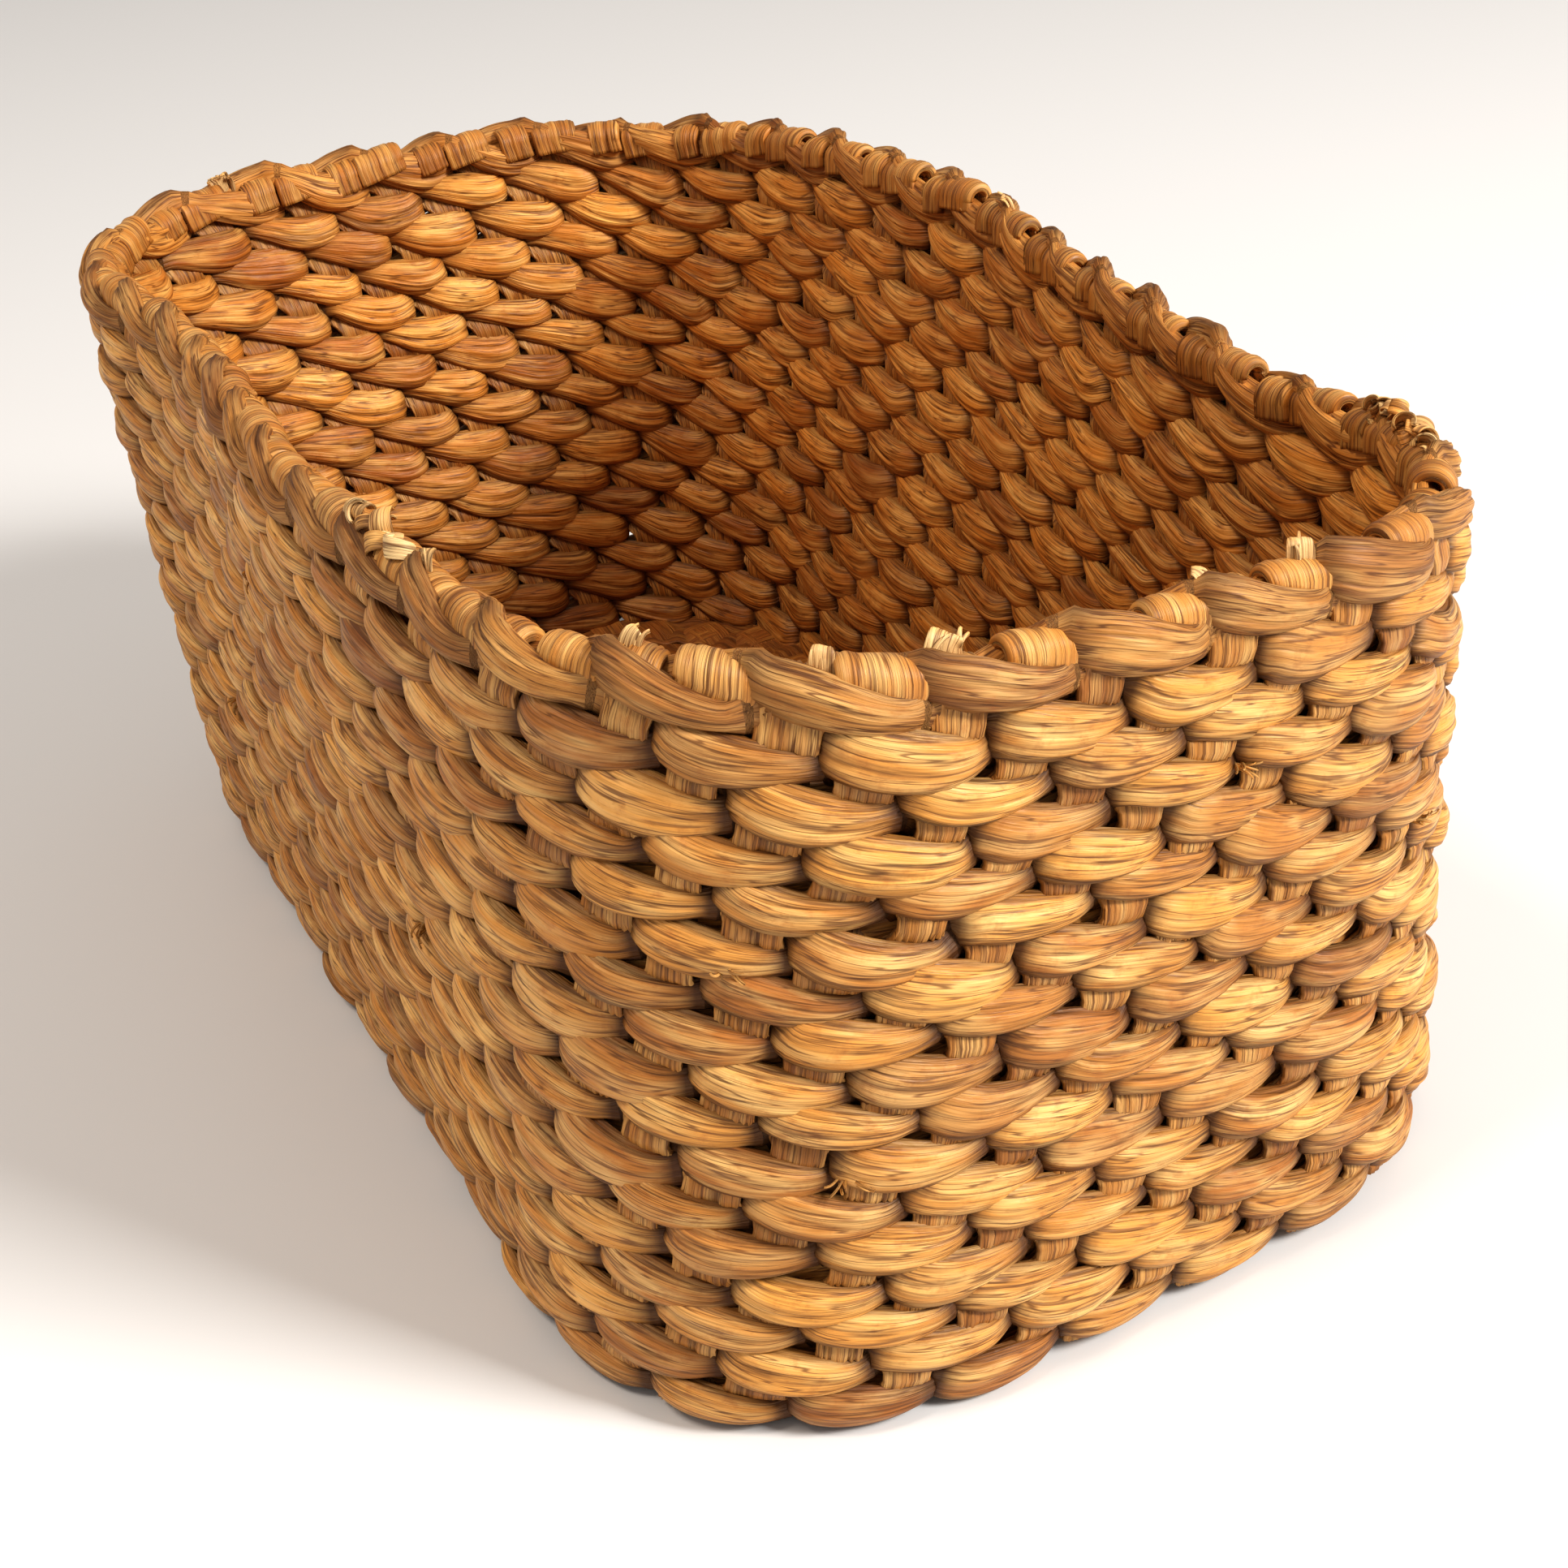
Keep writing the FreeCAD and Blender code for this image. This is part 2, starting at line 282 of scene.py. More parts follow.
def strand_material(name, pale, golden, brown, line_darkness, roughness):
    """Dried leaf: lengthwise fibres and folds, slow colour drifts, a tint for each stroke."""
    material = bpy.data.materials.new(name)
    material.use_nodes = True
    tree = material.node_tree
    tree.nodes.clear()
    fibre = node(tree, "ShaderNodeAttribute")
    fibre.attribute_name = "fibre"
    tint = node(tree, "ShaderNodeAttribute")
    tint.attribute_name = "tint"
    parts = node(tree, "ShaderNodeSeparateColor", Color=tint.outputs["Color"])
    hue, light, deep = parts.outputs[0], parts.outputs[1], parts.outputs[2]
    inside = node(tree, "ShaderNodeAttribute")
    inside.attribute_name = "inside"

    def streaks(along, across, detail, rough=0.6):
        """Noise drawn out along the fibres: how often it changes per mm along and across them."""
        scaled = node(tree, "ShaderNodeVectorMath", i0=fibre.outputs["Vector"], i1=(along, across, across))
        scaled.operation = "MULTIPLY"
        noise = node(tree, "ShaderNodeTexNoise", Vector=scaled.outputs[0], Scale=1.0, Detail=detail,
                     Roughness=rough)
        return noise.outputs["Fac"]

    fine = streaks(0.10, 3.2, 3.0)
    grooves = streaks(0.05, 1.25, 2.0, 0.5)
    broad = streaks(0.06, 0.35, 2.0)
    mottle = streaks(0.30, 0.45, 4.0, 0.65)
    crack = streaks(0.035, 0.85, 2.0, 0.5)
    ridge = tint.outputs["Alpha"]

    base = mix_colour(tree, "MIX", light, brown, golden)
    base = mix_colour(tree, "MIX", ramp(tree, broad, ((0.42, 0), (0.68, 0.70))), base, pale)
    # leaf ends of nearly full light tone turn cream: their own colour plus painted light shining through
    # them
    base = mix_colour(tree, "MIX", ramp(tree, light, ((0.94, 0), (1.0, 0.65))), base, CREAM)
    base = mix_colour(tree, "MIX", ramp(tree, mottle, ((0.54, 0), (0.74, 0.60))), base, RUSSET)
    dusky = mix_colour(tree, "MULTIPLY", 1.0, base, DUSK)
    base = mix_colour(tree, "MIX", hue, base, dusky)
    lines = ramp(tree, grooves, ((0.35, 0.75 * line_darkness), (0.42, 0)))
    base = mix_colour(tree, "MIX", lines, base, LINE_BROWN)
    # a narrow band of the noise's range gives thin lines
    cracks = ramp(tree, crack, ((0.462, 0), (0.484, line_darkness), (0.498, line_darkness), (0.520, 0)))
    base = mix_colour(tree, "MIX", cracks, base, CRACK_BROWN)
    # painted shade: darker where the fold height is low
    crease_shade = ramp(tree, ridge, ((0.04, line_darkness), (0.30, 0)))
    base = mix_colour(tree, "MIX", crease_shade, base, CREASE_SHADE_BROWN)
    hair = ramp(tree, fine, ((0.34, 0.70), (0.50, 1.0), (0.70, 1.14)))
    base = mix_colour(tree, "MULTIPLY", 1.0, base, hair)
    # painted bounce light: the inside is brightened and warmed where the inside attribute is 1
    bounce_lit = mix_colour(tree, "MULTIPLY", 1.0, base, INSIDE_BOUNCE_LIGHT)
    base = mix_colour(tree, "MIX", inside.outputs["Fac"], base, bounce_lit)
    # painted shade, with some dirt: the tint's third channel darkens the gaps, the edges and the low inside
    base = mix_colour(tree, "MIX", deep, base, GAP_SHADE_BROWN)

    low_bump = node(tree, "ShaderNodeBump", Strength=0.8, Distance=0.0007, Height=grooves)
    bump = node(tree, "ShaderNodeBump", Strength=0.8, Distance=0.0003, Height=fine,
                Normal=low_bump.outputs[0])
    shine = ramp(tree, fine, ((0.3, roughness + 0.14), (0.7, roughness - 0.08)))
    shader = node(tree, "ShaderNodeBsdfPrincipled", Base_Color=base, Roughness=shine,
                  Normal=bump.outputs[0])
    shader.inputs["Specular IOR Level"].default_value = 0.36
    output = node(tree, "ShaderNodeOutputMaterial")
    tree.links.new(shader.outputs[0], output.inputs[0])
    return material


WEAVER = strand_material("weaver_strand", (0.87, 0.56, 0.215, 1), (0.74, 0.345, 0.076, 1),
                         (0.42, 0.155, 0.030, 1), 0.76, 0.46)
BORDER = strand_material("border_strand", (0.70, 0.415, 0.150, 1), (0.55, 0.250, 0.058, 1),
                         (0.35, 0.145, 0.036, 1), 0.88, 0.54)
LEAF = strand_material("stake_leaf", (0.80, 0.49, 0.180, 1), (0.62, 0.28, 0.062, 1),
                       (0.40, 0.155, 0.033, 1), 0.80, 0.46)
FLOOR_LEAF = strand_material("base_leaf", (0.62, 0.32, 0.085, 1), (0.50, 0.21, 0.046, 1),
                             (0.32, 0.12, 0.025, 1), 0.6, 0.55)


# ---------------------------------------------------------------- twined strands
SECTIONS = 24           # rings along one stroke
SPOKES = 44             # points round a ring
STRAND_ROUND = 3.4      # radius of the cylinder on which the fibres are laid out
BLEND = 0.16            # share of a stroke over which it turns into the next
COURSE_WANDER = 0.6     # how far a course strays up and down
CROSSING_BULGE = 1.2    # extra half height where two strands cross, which closes the gaps there
CROSSING_SHARE = 0.09   # share of a stroke that the bulge takes
RING_REACH = 2.2        # rings lean no further than this along the wall, so that they don't cut each other
SEED_STEP = 40.0        # distance between the noise of one stroke and that of another


def stroke_values(count, low, high):
    """One random value for each stroke of a strand."""
    return chance.uniform(low, high, count)


def spread(values, phase):
    """Per-stroke values blended smoothly where one stroke turns into the next; phase counts strokes."""
    stroke = np.floor(phase).astype(int)
    within = phase - stroke
    here = values[stroke % len(values)]
    before = values[(stroke - 1) % len(values)]
    after = values[(stroke + 1) % len(values)]
    to_after = 0.5 * smooth((within - (1 - BLEND)) / BLEND)
    to_before = 0.5 * smooth((BLEND - within) / BLEND)
    return here * (1 - to_after - to_before) + after * to_after + before * to_before


def strand(sheets, course, turn, style):
    """One weaver all the way round: outside over two stakes, then inside behind two.

    phase counts strokes from where the strand comes out: even strokes are outside, odd ones inside.
    A stroke starts high and ends low outside, and climbs back inside, so the two strands twine."""
    strokes = STAKE_COUNT // 2
    line = FIRST_LINE + course * COURSE_PITCH
    phase = np.arange(strokes * SECTIONS) / SECTIONS
    stretch = spread(stroke_values(strokes, -0.09, 0.09), phase)
    middle = 2 * (phase + stretch * np.sin(math.pi * phase) ** 2 - 0.5) + course % 2 + 0.5 + 2 * turn
    u = stake_place(middle, line)
    within = phase % 1.0
    # the widest swing comes early in a stroke, so that its end sinks in slowly
    theta = math.pi * (phase + style["early"] * np.sin(math.pi * within))
    fat = spread(stroke_values(strokes, 0.80, 1.20), phase)
    deep = spread(stroke_values(strokes, 0.90, 1.12), phase)
    tilt = spread(stroke_values(strokes, 0.70, 1.20), phase)
    sag = spread(stroke_values(strokes, 0.5, 1.5), phase)
    lift = spread(stroke_values(strokes, -0.55, 0.55), phase)
    push = spread(stroke_values(strokes, -0.5, 0.7), phase)
    lean = spread(stroke_values(strokes, -0.12, 0.12), phase)

    swing = np.tanh(style["snap"] * np.sin(theta)) / math.tanh(style["snap"])
    body = np.abs(np.sin(theta))
    zigzag = (1 - 2 * within) * np.where(np.floor(phase) % 2 == 0, 1, -1)
    descent = 0.6 * np.cos(math.pi * phase) + 0.4 * zigzag
    z = line + tilt * style["climb"] * descent - sag * style["sag"] * body + lift + style["lift"]
    z -= style["inner_drop"] * np.clip(-np.sin(theta), 0, 1)
    z += COURSE_WANDER * np.sin(2 * math.pi * (5 + course % 3) * u / PERIMETER + 2.4 * course)
    out = (style["swing"] + push * body) * swing - style["roll"] * np.cos(math.pi * phase) + style["out"]
    # blunt where the stroke starts, drawn out to a tip where it ends
    blunt = 0.46 + lean
    tip = 1.10 + lean
    peak = blunt / (blunt + tip)
    belly = (within / peak) ** blunt * ((1 - within) / (1 - peak)) ** tip
    crossing = np.exp(-((0.5 - np.abs(within - 0.5)) / CROSSING_SHARE) ** 2)
    tall = (style["thin"] + CROSSING_BULGE * crossing + (style["tall"] - style["thin"]) * belly) * fat
    thick = (style["thin_depth"] + (style["depth"] - style["thin_depth"]) * belly) * deep

    # rings square to the strand's run
    step_u = np.gradient(u)
    step_z = np.gradient(z)
    step_out = np.gradient(out)
    run = np.stack([step_u, step_z, step_out], -1)
    run /= np.linalg.norm(run, axis=1)[:, None]
    up = np.stack([-run[:, 1], run[:, 0], np.zeros(len(u))], -1)
    up /= np.linalg.norm(up, axis=1)[:, None]
    away = np.cross(run, up)

    spin = ring_angles(SPOKES)
    profile_up = squared(np.sin(spin), 0.95)
    profile_out = squared(np.cos(spin), 0.95)
    # lengthwise folds of the twisted leaf: (how many round the strand, depth mm)
    folds = np.zeros((len(u), SPOKES))
    for count, size in ((8, 0.34), (12, 0.26), (5, 0.26)):
        shift = spread(stroke_values(strokes, 0, 2 * math.pi), phase)[:, None]
        warp = spread(stroke_values(strokes, -0.35, 0.35), phase)[:, None]
        twist = spread(stroke_values(strokes, -0.9, 0.9), phase)[:, None] * (within - 0.5)[:, None]
        around = spin + warp * np.sin(spin + shift) + twist
        folds += size * (np.abs(np.sin(around * count / 2 + shift)) - 0.62)
    ridge = np.clip(0.55 + folds / 0.8, 0, 1)
    folds *= style["folds"] * (0.30 + 0.70 * belly)[:, None]
    up_size = tall[:, None] + folds
    out_size = thick[:, None] + folds
    offset = (up[:, None, :] * (profile_up * up_size)[..., None]
              + away[:, None, :] * (profile_out * out_size)[..., None])
    offset[..., 0] = np.clip(offset[..., 0], -RING_REACH, RING_REACH)
    places = np.stack([u, z, out], -1)[:, None, :] + offset
    points = wall(places[..., 0], places[..., 1], places[..., 2])

    length = np.cumsum(np.sqrt(step_u ** 2 + step_z ** 2 + step_out ** 2))[:, None]
    seed = spread(stroke_values(strokes, 0, 60), np.floor(phase) + 0.5)[:, None]
    fibre = np.stack([length + SEED_STEP * seed + 0 * spin, STRAND_ROUND * np.cos(spin) + 0 * length,
                      STRAND_ROUND * np.sin(spin) + 0 * length], -1)
    hue = spread(np.clip(chance.normal(style["dusky"], 0.34, strokes), 0, 1), phase)[:, None]
    light = spread(np.clip(chance.normal(style["light"], 0.30, strokes), 0, 0.92), phase)[:, None]
    # painted shade, with some dirt, where a strand dives between the others and along its edges
    dive_shade = (1 - smooth((np.abs(out) - 0.2) / 1.9))[:, None] * style["shade"]
    # painted shade under the strand's lower edge and along its top edge
    edge_shade = smooth((-np.sin(spin) - 0.50) / 0.50) * 0.78 + smooth((np.sin(spin) - 0.72) / 0.28) * 0.55
    # painted shade towards the end of each stroke, and at its start under the stroke above
    ends = 0.55 * smooth((within - 0.60) / 0.40) + 0.30 * smooth((0.16 - within) / 0.16)
    dive_shade = dive_shade + (ends * (1 - 0.5 * smooth(-out / 2)))[:, None] * style["shade"]
    inside = smooth(-places[..., 2] / 2)
    painted_shade = dive_shade + edge_shade * min(1.0, 1.2 * style["shade"])
    # painted shade: darker low down on the inside of the basket, with less of the gap shade there
    painted_shade = np.clip(painted_shade * (1 - 0.4 * inside) + 0.46 * inside * (1 - line / HEIGHT) ** 1.5, 0, 0.92)
    tint = np.stack([hue + 0 * spin, light + 0 * spin, painted_shade, ridge], -1)
    sheets.add(points, fibre, tint, inside, closed_rows=True)


# how a course lies, mm: swing in and out of the stakes and how abruptly it snaps over, how early in a
# stroke it swings widest, climb at the crossings, sag and lift of a stroke, drop of the inner stroke,
# shift outward, roll outward where it goes in; half height and half depth in the belly and at the thin
# ends, size of the folds; then the mean dusky and light tones and how much painted shade the gaps hold
WALL_STYLE = {
    "swing": 2.7, "snap": 1.9, "early": 0.09,
    "climb": 2.2, "sag": 1.4, "lift": 0.4, "inner_drop": 0.0, "out": 0.0, "roll": 0.0,
    "tall": 5.1, "thin": 2.15, "depth": 2.7, "thin_depth": 1.7, "folds": 1.0,
    "dusky": 0.14, "light": 0.62, "shade": 0.85,
}
BORDER_STYLE = dict(
    WALL_STYLE, climb=2.8, sag=0.5, lift=1.2, inner_drop=1.5, out=-0.2, roll=1.3,
    tall=4.6, thin=2.3, depth=2.8, folds=1.3, dusky=0.18, light=0.66, shade=0.38)
FOOT_STYLE = dict(WALL_STYLE, climb=1.4, sag=0.5, lift=-1.6, out=-0.3, tall=4.7, dusky=0.3, light=0.45)


def make_courses():
    """Every course is one piece of two twined strands."""
    for course in range(COURSE_COUNT):
        is_border = course == COURSE_COUNT - 1
        label = "border" if is_border else "course_%02d" % (course + 1)
        style = BORDER_STYLE if is_border else FOOT_STYLE if course == 0 else WALL_STYLE
        sheets = Sheets()
        for turn in (0, 1):
            strand(sheets, course, turn, style)
        sheets.piece(label + "_twined", BORDER if is_border else WEAVER,
                     "border_strand" if is_border else "weaver_strand",
                     [label + "_weaver_a", label + "_weaver_b"])


# ---------------------------------------------------------------- stakes
STAKE_HALF_WIDTH = 4.2
STAKE_HALF_DEPTH = 1.35
STAKE_BOW = 2.3         # how far a stake is pushed out between strokes
STAKE_STEP = 1.45       # height between its rings
STAKE_SPREAD = 0.52     # how much wider it is where it passes between two strokes
FOLD_RADIUS = 2.5
FOLD_OUT = 1.3          # where the fold starts, outward from the wall line
FOLD_HALF_WIDTH = 6.4
FOLD_HALF_DEPTH = 1.9   # nearly the radius, so that a fold shows as a full roll
FOLD_SLANT = -0.13      # folds slope down with the border strokes
SEEN_TOP = 1.8          # the stem of a seen fold ends this far below the rim, less the radius
HIDDEN_TOP = 2.8


def leaf(sheets, path, across, half_width, half_depth, ribs, tones, spokes):
    """A ribbed leaf along a path of (round, height, outward) rows.

    across is the direction of its width; tones is (hue, light, painted shade), each a number or one per
    row."""
    rows = len(path)
    run = np.gradient(path, axis=0)
    length = np.linalg.norm(run, axis=1)
    run /= length[:, None]
    across = np.broadcast_to(np.asarray(across, float), path.shape)
    across = across - run * np.sum(across * run, axis=1)[:, None]
    across /= np.linalg.norm(across, axis=1)[:, None]
    face = np.cross(across, run)
    spin = ring_angles(spokes)
    side = squared(np.cos(spin), 0.75)
    front = squared(np.sin(spin), 0.55)
    drift = chance.uniform(0, math.pi) + 0.5 * np.sin(np.arange(rows) / 9.0 + chance.uniform(0, 6))[:, None]
    rib = np.abs(np.sin(side * ribs * math.pi / 2 + drift))
    half_width = np.broadcast_to(half_width, rows)[:, None]
    half_depth = np.broadcast_to(half_depth, rows)[:, None]
    is_fine = ribs > 11
    depth = half_depth * (0.80 + (rib - 0.6) * (0.2 if is_fine else 0.42 if ribs > 3 else 0.28))
    places = (path[:, None, :] + across[:, None, :] * (side * half_width)[..., None]
              + face[:, None, :] * (front * depth)[..., None])
    points = wall(places[..., 0], places[..., 1], places[..., 2])
    zero = np.zeros((rows, spokes))
    fibre = np.stack([np.cumsum(length)[:, None] + zero, side * half_width,
                      chance.uniform(0, 400) + 2 * np.sign(front) + zero], -1)
    hue, light, painted_shade = [np.broadcast_to(tone, rows)[:, None] + zero for tone in tones]
    tint = np.stack([hue, light, painted_shade, np.clip(rib * 1.2 + (0.15 if is_fine else 0), 0, 1) + zero], -1)
    sheets.add(points, fibre, tint, smooth(-(places[..., 2] + 1.5) / 2), flip=True)


def stake(sheets, number):
    """A ribbed leaf that climbs between the strands and folds over the rim to the inside.

    Odd stakes fold over where the border stroke is low, and show as broad rolls; even ones stay below."""
    is_seen = number % 2 == 1
    foot = 2.0
    stem_top = HEIGHT - FOLD_RADIUS - (SEEN_TOP if is_seen else HIDDEN_TOP) + chance.uniform(-0.6, 0.6)
    climb = np.arange(foot, stem_top, STAKE_STEP)
    gap_line = FIRST_LINE + (number % 2) * COURSE_PITCH - 5.2
    gap_wave = np.cos(math.pi * (climb - gap_line) / COURSE_PITCH)
    fold_in = FOLD_RADIUS + chance.uniform(-0.3, 0.3)
    turn = np.linspace(0, math.pi, 15)[1:]
    tail = np.linspace(0, chance.uniform(2.5, 4.0), 5)[1:]
    z = np.concatenate([climb, stem_top + fold_in * np.sin(turn), stem_top - tail])
    near_top = smooth((climb - (stem_top - 9)) / 9)
    out = np.concatenate([STAKE_BOW * gap_wave * (1 - near_top) + FOLD_OUT * near_top,
                          FOLD_OUT - fold_in * (1 - np.cos(turn)), FOLD_OUT - 2 * fold_in - 0.1 * tail])
    widen = smooth((z - (HEIGHT - 12)) / 8)
    widen[len(climb):] = 1.0
    u = stake_place(number, np.minimum(z, stem_top)) + chance.uniform(-0.4, 0.4)
    u = u + 0.3 * np.sin(z / 9.0 + number) + (1.2 * widen if is_seen else 0)
    width = STAKE_HALF_WIDTH * chance.uniform(0.92, 1.12) * (1 + 0.08 * np.sin(z / 13.0 + 2.1 * number))
    width[:len(climb)] *= 1.0 + STAKE_SPREAD * (1 - gap_wave ** 2) ** 2
    fold_width = (FOLD_HALF_WIDTH if is_seen else STAKE_HALF_WIDTH) * chance.uniform(0.9, 1.1)
    width = width * (1 - widen) + fold_width * widen
    depth = STAKE_HALF_DEPTH * (1 - widen) + FOLD_HALF_DEPTH * widen
    crown = smooth((z - (HEIGHT - 9)) / 6)
    hue = np.clip(chance.normal(0.15, 0.25), 0, 1) * (1 - crown)
    light = np.clip(chance.normal(0.45, 0.25), 0, 0.92) * (1 - crown) + chance.uniform(0.30, 0.80) * crown
    ribs = chance.integers(12, 15) if is_seen else chance.integers(8, 11)
    across = np.stack([1 + 0 * z, FOLD_SLANT * widen, 0 * z], -1)
    # painted shade: the stem is darker below the crown, between the strands, and darker still inside the
    # basket
    painted_shade = 0.12 * (1 - crown) + 0.25 * smooth(-out / 2)
    leaf(sheets, np.stack([u, z, out], -1), across, width, depth, ribs, (hue, light, painted_shade), spokes=44)


def side_of_stake(number):
    """The CAD node that holds this stake."""
    u = np.mod(stake_place(number, HEIGHT / 2), PERIMETER)
    stretch = int(np.clip(np.searchsorted(STRETCH_STARTS, u, side="right") - 1, 0, 8))
    names = ("right", "back_right_corner", "back", "back_left_corner", "left",
             "front_left_corner", "front", "front_right_corner", "right")
    return "stakes_" + names[stretch]


def make_stakes():
    """The stakes, grouped by wall as in the CAD model."""
    groups = {}
    for number in range(STAKE_COUNT):
        sheets = groups.setdefault(side_of_stake(number), Sheets())
        stake(sheets, number)
    for side in sorted(groups):
        groups[side].piece(side + "_leaves", LEAF, "stake_leaf", [side])


# ---------------------------------------------------------------- cut ends
# cut leaf ends on the rim: (stake place, height above the rim mm, drift along the rim mm, half width mm)
STUBS = ((68.3, 1.3, 0.6, 2.0), (69.7, 1.8, 2.5, 3.0), (73.6, 1.6, -2.5, 1.6), (75.1, 2.0, 1.0, 2.6),
         (65.8, 1.5, 1.5, 1.8), (61.7, 1.2, -2.0, 2.2), (17.4, 1.2, 1.5, 2.6), (38.5, 1.4, 1.5, 2.8))
# curled leaf ends on the rim: (stake place, how many)
CURLS = ((4.7, 16), (60.4, 9))
# frayed fibre ends between strokes: (stake place, height mm)
TUFTS = ((74.5, 116.0), (69.6, 57.0), (67.7, 98.0), (2.4, 88.0), (61.2, 72.0), (53.5, 110.0),
         (14.3, 64.0), (23.8, 104.0), (33.6, 40.0), (42.4, 92.0), (49.3, 55.0))


def stub(sheets, place, rise, drift, half_width):
    """A leaf end that was cut off just above the rim: a flat chip and a few torn shreds beside it."""
    up = np.linspace(0, 1, 12)
    for shred in range(4):
        is_chip = shred == 0
        tall = rise * (1 if is_chip else chance.uniform(0.3, 1.3))
        bend = drift + (0 if is_chip else chance.uniform(-1.6, 1.6))
        side = 0 if is_chip else chance.uniform(-1, 1) * half_width
        z = HEIGHT - 5 + (5 + tall) * np.sin(up * math.pi / 2)
        u = stake_place(place, HEIGHT) + bend * up ** 2 + side
        out = -0.6 - 1.8 * up ** 2 + (0 if is_chip else chance.uniform(-1, 1)) * up
        width = half_width * (1 - 0.25 * up ** 4) if is_chip else half_width * 0.28 * (1 - 0.7 * up)
        # painted shade, darker towards the foot of each shred where it comes out of the rim
        leaf(sheets, np.stack([u, z, out], -1), (1, 0, chance.uniform(-0.3, 0.5)), width, 0.45,
             7 if is_chip else 2, (0.1, 0.98, 0.20 * (1 - up)), spokes=24)


def curl(sheets, place, number):
    """A cluster of small leaf ends that curled up every way as they dried."""
    for loop in range(number):
        along = (loop - number / 2) * 1.9
        centre = np.array([stake_place(place, HEIGHT) + along + chance.uniform(-1.5, 1.5),
                           HEIGHT + chance.uniform(-1.5, 1.0), chance.uniform(-3.5, 0.5)])
        axis = np.array([chance.uniform(0.3, 1), chance.uniform(-0.8, 0.8), chance.uniform(-0.9, 0.9)])
        axis /= np.linalg.norm(axis)
        first = np.cross(axis, (0.1, 0.2, 1.0))
        first /= np.linalg.norm(first)
        second = np.cross(axis, first)
        turn = np.linspace(0, chance.uniform(2.2, 4.6), 20) + chance.uniform(-0.6, 0.6)
        shrink = chance.uniform(1.6, 3.2) * (1 - 0.08 * turn)[:, None]
        path = centre + shrink * (np.cos(turn)[:, None] * first - np.sin(turn)[:, None] * second)
        path += 0.4 * turn[:, None] * axis
        width = chance.uniform(1.2, 2.3) * (1 - 0.4 * np.linspace(0, 1, 20) ** 3)
        leaf(sheets, path, axis, width, 0.35, 5, (0.0, chance.uniform(0.93, 1.0), 0.0), spokes=20)


def tuft(sheets, place, height):
    """A few loose fibres where a strand was joined and trimmed."""
    for fibre_number in range(8):
        along = np.linspace(0, 1, 8)
        reach = chance.uniform(2.2, 4.6)
        side = chance.uniform(-0.8, 1.2)
        u = stake_place(place, height) + chance.uniform(-1, 1) + side * reach * along
        z = height + chance.uniform(-0.8, 0.8) + chance.uniform(-0.5, 0.4) * reach * along ** 2
        out = 2.2 + reach * 0.85 * np.sin(along * math.pi * 0.55)
        leaf(sheets, np.stack([u, z, out], -1), (0.3, 1, 0.2), 0.55 * (1 - 0.75 * along), 0.22, 1,
             (0.1, 0.9, 0.1), spokes=8)


def make_cut_ends():
    """All the stubs, curled ends and tufts of the basket."""
    stubs, tufts = Sheets(), Sheets()
    for row in STUBS:
        stub(stubs, *row)
    for row in CURLS:
        curl(stubs, *row)
    for row in TUFTS:
        tuft(tufts, *row)
    stubs.piece("rim_cut_ends", LEAF, "stake_leaf", [])
    tufts.piece("frayed_ends", WEAVER, "weaver_strand", [])


# ---------------------------------------------------------------- base
CROSS_STRIPS = 24
LONG_STRIPS = 14
CROSS_PITCH = 11.8      # between crosswise strips, along the basket
LONG_PITCH = 11.4
STRIP_HALF_WIDTH = 5.3
STRIP_HALF_DEPTH = 0.75
BASE_LINE = 1.95        # height of the weave's middle
STRIP_RISE = 0.95       # how far a strip rises and dips from it
# leaves laid round the foot of the wall: (middle outward from the wall line, half width, sway up and down)
FOOT_LEAVES = ((-6.4, 5.2, 0.35), (-14.4, 4.9, -0.45))


def base_outline():
    """The foot of the wall as x and y in mm, all the way round; the strips end inside its strands."""
    u = np.linspace(0, PERIMETER, 721)
    points = wall(u, 0 * u + 4.0, 0 * u - 0.5) / MM
    return points[:, 0], points[:, 1]


def strip_ends(place, along, aside):
    """Lowest and highest coordinate along a strip where it meets the foot of the wall."""
    before, after = aside[:-1], aside[1:]
    crossed = (before - place) * (after - place) <= 0
    share = (place - before[crossed]) / (after - before)[crossed]
    met = along[:-1][crossed] + share * (along[1:] - along[:-1])[crossed]
    return met.min(), met.max()


